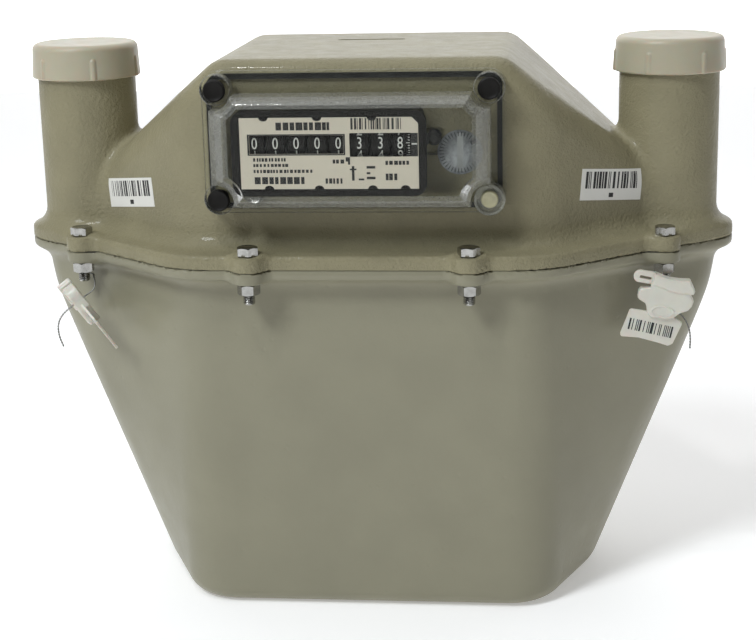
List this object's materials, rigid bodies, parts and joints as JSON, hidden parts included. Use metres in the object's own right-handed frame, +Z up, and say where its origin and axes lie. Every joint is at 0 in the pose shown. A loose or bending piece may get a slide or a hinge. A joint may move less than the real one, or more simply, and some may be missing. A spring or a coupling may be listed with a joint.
{
  "type": "gas meter",
  "caption": "Diaphragm gas meter with two top pipe necks under plastic caps, a bolted tapering casing, and a drum counter behind a clear cover.",
  "frame": {"origin": "on the floor under the middle of the casing, at the middle of the box without the seals", "axes": "+X to the right as seen from the counter, +Y from the counter to the back, +Z up"},
  "size_m": [0.3058, 0.162, 0.2337],
  "materials": {
    "upper_paint": "grey-beige powder coat on a sand-cast surface, satin",
    "lower_paint": "grey-beige powder coat, fine orange peel, satin",
    "gasket_rubber": "matt",
    "cap_plastic": "milky polyethylene",
    "clear_plastic": "clear polycarbonate, frosted on its bevels",
    "black_plastic": "satin black",
    "dial_face": "printed plate, satin",
    "wheel_plastic": "black with pale digits",
    "bright_zinc": "bright zinc plate",
    "yellow_zinc": "yellow zinc plate",
    "bare_aluminium": "die-cast, bare",
    "grey_plastic": "moulded",
    "diaphragm_cloth": "coated cloth, matt",
    "seal_plastic": "moulded white nylon",
    "seal_wire": "twisted wire, dull"
  },
  "bodies": {
    "meter_body": {"casing_gasket": "gasket_rubber", "counter_frame": "black_plastic", "cover_screw_1": "black_plastic", "cover_screw_2": "yellow_zinc", "cover_screw_3": "black_plastic", "cover_screw_4": "black_plastic", "dial_plate": "dial_face", "flange_bolt_1": "bright_zinc", "flange_bolt_2": "bright_zinc", "flange_bolt_3": "bright_zinc", "flange_bolt_4": "bright_zinc", "flange_bolt_5": "bright_zinc", "flange_bolt_6": "bright_zinc", "flange_bolt_7": "bright_zinc", "flange_bolt_8": "bright_zinc", "flange_nut_1": "bright_zinc", "flange_nut_2": "bright_zinc", "flange_nut_3": "bright_zinc", "flange_nut_4": "bright_zinc", "flange_nut_5": "bright_zinc", "flange_nut_6": "bright_zinc", "flange_nut_7": "bright_zinc", "flange_nut_8": "bright_zinc", "front_chamber_cover": "grey_plastic", "left_seal_body": "seal_plastic", "left_seal_rotor": "seal_plastic", "left_seal_wire": "seal_wire", "lower_casing": "lower_paint", "measuring_frame": "grey_plastic", "outlet_duct": "bare_aluminium", "rear_chamber_cover": "grey_plastic", "right_seal_body": "seal_plastic", "right_seal_rotor": "seal_plastic", "right_seal_wire": "seal_wire", "seal_cup": "clear_plastic", "upper_casing": "upper_paint", "window_cover": "clear_plastic", "window_gasket": "gasket_rubber"},
    "inlet_cap": {"inlet_port_cap": "cap_plastic"},
    "outlet_cap": {"outlet_port_cap": "cap_plastic"},
    "crank": {"crank_shaft": "bright_zinc"},
    "index_drive": {"index_drive_shaft": "bare_aluminium"},
    "carry_pinions": {"carry_pinion_row": "wheel_plastic"},
    "front_flag": {"front_flag_rod": "bright_zinc"},
    "rear_flag": {"rear_flag_rod": "bright_zinc"},
    "front_link": {"front_crank_link": "bright_zinc"},
    "rear_link": {"rear_crank_link": "bright_zinc"},
    "front_membrane": {"front_diaphragm": "diaphragm_cloth"},
    "rear_membrane": {"rear_diaphragm": "diaphragm_cloth"},
    "front_valve": {"front_slide_valve": "grey_plastic"},
    "rear_valve": {"rear_slide_valve": "grey_plastic"},
    "wheel_1": {"number_wheel_1": "wheel_plastic"},
    "wheel_2": {"number_wheel_2": "wheel_plastic"},
    "wheel_3": {"number_wheel_3": "wheel_plastic"},
    "wheel_4": {"number_wheel_4": "wheel_plastic"},
    "wheel_5": {"number_wheel_5": "wheel_plastic"},
    "wheel_6": {"number_wheel_6": "wheel_plastic"},
    "wheel_7": {"number_wheel_7": "wheel_plastic"},
    "wheel_8": {"number_wheel_8": "wheel_plastic", "wheel_shaft": "bright_zinc"}
  },
  "joints": [
    {"name": "inlet_cap_lift", "type": "slide", "parent": "meter_body", "child": "inlet_cap", "axis": [0, 0, 1], "range_m": [0, 0.03]},
    {"name": "outlet_cap_lift", "type": "slide", "parent": "meter_body", "child": "outlet_cap", "axis": [0, 0, 1], "range_m": [0, 0.03]},
    {"name": "crank_turn", "type": "hinge", "parent": "meter_body", "child": "crank", "pos_m": [0.03, 0, 0.15], "axis": [0, 0, 1], "continuous": true},
    {"name": "index_drive_turn", "type": "hinge", "parent": "meter_body", "child": "index_drive", "pos_m": [0.03, -0.02, 0.2004], "axis": [0, 1, 0], "continuous": true},
    {"name": "carry_pinions_turn", "type": "hinge", "parent": "meter_body", "child": "carry_pinions", "pos_m": [0, -0.0658, 0.1889], "axis": [1, 0, 0], "continuous": true},
    {"name": "wheel_1_turn", "type": "hinge", "parent": "meter_body", "child": "wheel_1", "pos_m": [-0.0395, -0.0658, 0.2004], "axis": [1, 0, 0], "continuous": true},
    {"name": "wheel_2_turn", "type": "hinge", "parent": "meter_body", "child": "wheel_2", "pos_m": [-0.03124, -0.0658, 0.2004], "axis": [1, 0, 0], "continuous": true},
    {"name": "wheel_3_turn", "type": "hinge", "parent": "meter_body", "child": "wheel_3", "pos_m": [-0.02298, -0.0658, 0.2004], "axis": [1, 0, 0], "continuous": true},
    {"name": "wheel_4_turn", "type": "hinge", "parent": "meter_body", "child": "wheel_4", "pos_m": [-0.01472, -0.0658, 0.2004], "axis": [1, 0, 0], "continuous": true},
    {"name": "wheel_5_turn", "type": "hinge", "parent": "meter_body", "child": "wheel_5", "pos_m": [-0.00646, -0.0658, 0.2004], "axis": [1, 0, 0], "continuous": true},
    {"name": "wheel_6_turn", "type": "hinge", "parent": "meter_body", "child": "wheel_6", "pos_m": [0.0018, -0.0658, 0.2004], "axis": [1, 0, 0], "continuous": true},
    {"name": "wheel_7_turn", "type": "hinge", "parent": "meter_body", "child": "wheel_7", "pos_m": [0.01006, -0.0658, 0.2004], "axis": [1, 0, 0], "continuous": true},
    {"name": "wheel_8_turn", "type": "hinge", "parent": "meter_body", "child": "wheel_8", "pos_m": [0.01832, -0.0658, 0.2004], "axis": [1, 0, 0], "continuous": true},
    {"name": "front_flag_swing", "type": "hinge", "parent": "meter_body", "child": "front_flag", "pos_m": [-0.028, -0.008, 0.08], "axis": [0, 0, 1], "range_deg": [-20, 20]},
    {"name": "front_membrane_stroke", "type": "slide", "parent": "meter_body", "child": "front_membrane", "axis": [0, 1, 0], "range_m": [-0.0136, 0.0136]},
    {"name": "front_link_swing", "type": "hinge", "parent": "front_flag", "child": "front_link", "pos_m": [-0.003, -0.033, 0.16], "axis": [0, 0, 1], "range_deg": [-20.5, 20.5]},
    {"name": "front_valve_slide", "type": "slide", "parent": "meter_body", "child": "front_valve", "axis": [0.7071, -0.7071, 0], "range_m": [-0.005, 0.005]},
    {"name": "rear_flag_swing", "type": "hinge", "parent": "meter_body", "child": "rear_flag", "pos_m": [-0.028, 0.008, 0.08], "axis": [0, 0, 1], "range_deg": [-20, 20]},
    {"name": "rear_membrane_stroke", "type": "slide", "parent": "meter_body", "child": "rear_membrane", "axis": [0, 1, 0], "range_m": [-0.0136, 0.0136]},
    {"name": "rear_link_swing", "type": "hinge", "parent": "rear_flag", "child": "rear_link", "pos_m": [-0.003, 0.033, 0.16], "axis": [0, 0, 1], "range_deg": [-20.5, 20.5]},
    {"name": "rear_valve_slide", "type": "slide", "parent": "meter_body", "child": "rear_valve", "axis": [0.7071, 0.7071, 0], "range_m": [-0.005, 0.005]}
  ],
  "couplings": [
    {"joint": "index_drive_turn", "follows": "crank_turn", "ratio": -0.2},
    {"joint": "carry_pinions_turn", "follows": "crank_turn", "ratio": 0.05},
    {"joint": "wheel_8_turn", "follows": "crank_turn", "ratio": -0.2},
    {"joint": "wheel_7_turn", "follows": "crank_turn", "ratio": -0.02},
    {"joint": "wheel_6_turn", "follows": "crank_turn", "ratio": -0.002},
    {"joint": "wheel_5_turn", "follows": "crank_turn", "ratio": -0.0002},
    {"joint": "wheel_4_turn", "follows": "crank_turn", "ratio": -0.00002},
    {"joint": "wheel_3_turn", "follows": "crank_turn", "ratio": -0.000002},
    {"joint": "wheel_2_turn", "follows": "crank_turn", "ratio": -0.0000002},
    {"joint": "wheel_1_turn", "follows": "crank_turn", "ratio": -0.00000002},
    {"joint": "front_membrane_stroke", "follows": "front_flag_swing", "m_per_rad": 0.0387},
    {"joint": "front_link_swing", "follows": "front_flag_swing", "ratio": -1},
    {"joint": "rear_membrane_stroke", "follows": "rear_flag_swing", "m_per_rad": 0.0387},
    {"joint": "rear_link_swing", "follows": "rear_flag_swing", "ratio": -1}
  ]
}
